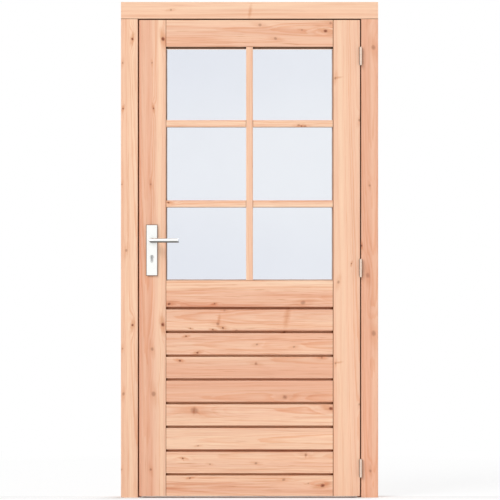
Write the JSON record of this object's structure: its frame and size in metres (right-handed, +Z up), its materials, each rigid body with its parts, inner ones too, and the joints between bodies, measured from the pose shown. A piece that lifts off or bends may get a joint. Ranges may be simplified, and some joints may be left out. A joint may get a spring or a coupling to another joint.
{
  "type": "half-glazed wooden door in its frame",
  "caption": "Planed softwood door in a three-sided frame, glazed above and boarded below, with butt hinges, backplates and lever handles.",
  "frame": {"origin": "on the wall face of the hinge jamb, at floor level and in the middle of the frame's depth", "axes": "+Z up, -Y the side the door opens to, +X from the lock side to the hinge side"},
  "size_m": [1.095, 0.1704, 2.11],
  "materials": {
    "frame_wood": "planed softwood",
    "leaf_wood": "planed softwood",
    "board_wood": "planed softwood",
    "pane_glass": "clear",
    "handle_metal": "satin",
    "hinge_metal": "satin",
    "lock_metal": "satin"
  },
  "bodies": {
    "frame": {"hinge_jamb": "frame_wood", "lock_jamb": "frame_wood", "frame_head": "frame_wood", "hinge_side_stop": "frame_wood", "lock_side_stop": "frame_wood", "head_stop": "frame_wood", "strike_plate": "lock_metal", "hinge_pins": "hinge_metal", "lower_hinge_frame_plate": "hinge_metal", "middle_hinge_frame_plate": "hinge_metal", "upper_hinge_frame_plate": "hinge_metal"},
    "door_leaf": {"lock_stile": "leaf_wood", "hinge_stile": "leaf_wood", "top_rail": "leaf_wood", "middle_rail": "leaf_wood", "bottom_rail": "leaf_wood", "vertical_glazing_bar": "leaf_wood", "upper_glazing_bars": "leaf_wood", "lower_glazing_bars": "leaf_wood", "panel_board_1": "board_wood", "panel_board_2": "board_wood", "panel_board_3": "board_wood", "panel_board_4": "board_wood", "panel_board_5": "board_wood", "panel_board_6": "board_wood", "panel_board_7": "board_wood", "upper_lock_side_pane": "pane_glass", "upper_hinge_side_pane": "pane_glass", "middle_lock_side_pane": "pane_glass", "middle_hinge_side_pane": "pane_glass", "lower_lock_side_pane": "pane_glass", "lower_hinge_side_pane": "pane_glass", "glazing_beads": "leaf_wood", "outside_backplate": "handle_metal", "inside_backplate": "handle_metal", "lock_forend": "lock_metal", "lock_case": "lock_metal", "lock_bolts": "lock_metal", "lock_cylinder": "handle_metal", "lower_hinge_leaf_plate": "hinge_metal", "middle_hinge_leaf_plate": "hinge_metal", "upper_hinge_leaf_plate": "hinge_metal"},
    "handle": {"outside_lever": "handle_metal", "inside_lever": "handle_metal", "lever_spindle": "handle_metal"}
  },
  "joints": [
    {"name": "leaf_hinge", "type": "hinge", "parent": "frame", "child": "door_leaf", "pos_m": [-0.0745, -0.042, 0.977], "axis": [0, 0, 1], "range_deg": [0, 170]},
    {"name": "lever_turn", "type": "hinge", "parent": "door_leaf", "child": "handle", "pos_m": [-0.963, -0.015, 1.094], "axis": [0, 1, 0], "range_deg": [0, 45], "stiffness_Nm_per_rad": 1.5, "springref_deg": -28.65}
  ]
}
